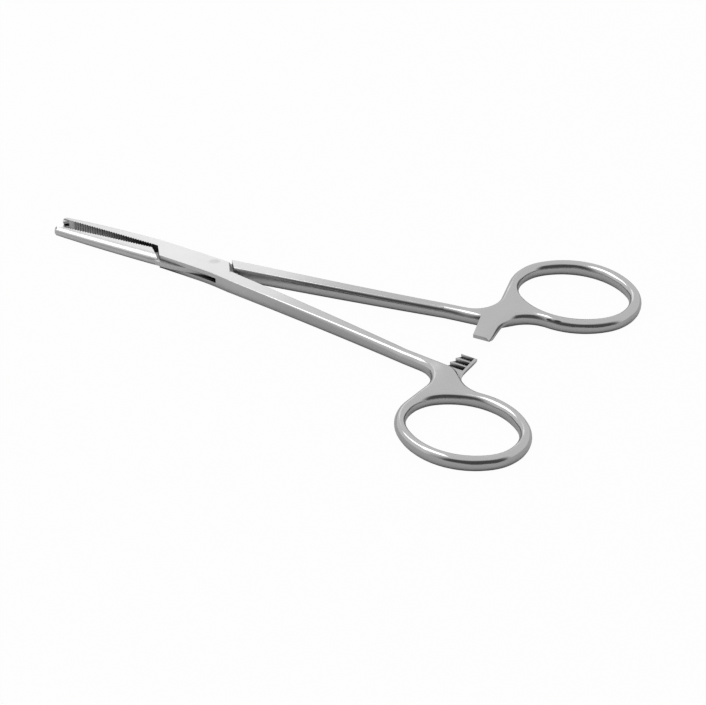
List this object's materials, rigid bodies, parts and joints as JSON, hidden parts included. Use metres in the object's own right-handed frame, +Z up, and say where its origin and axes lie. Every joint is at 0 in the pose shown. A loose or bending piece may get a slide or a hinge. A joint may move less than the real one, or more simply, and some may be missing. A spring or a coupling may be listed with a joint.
{
  "type": "hemostat forceps",
  "caption": "Straight ratchet-lock clamping forceps with cross-serrated toothed jaws, a box lock and finger rings.",
  "frame": {"origin": "on the axis of the pivot pin, at the underside of the box lock", "axes": "+X along the centre line towards the finger rings, with the jaws pointing to -X; +Z up along the pin, out of the flat upper face; +Y towards the handle of the half that passes through the box"},
  "size_m": [0.1396, 0.0862, 0.0036],
  "materials": {
    "forged_steel": "satin"
  },
  "bodies": {
    "box_side": {"box_half": "forged_steel", "pivot_pin": "forged_steel"},
    "plain_side": {"plain_half": "forged_steel"}
  },
  "joints": [
    {"name": "box_lock_pivot", "type": "hinge", "parent": "box_side", "child": "plain_side", "pos_m": [0, 0, 0], "axis": [0, 0, 1], "range_deg": [-5.3, 54.7]}
  ]
}
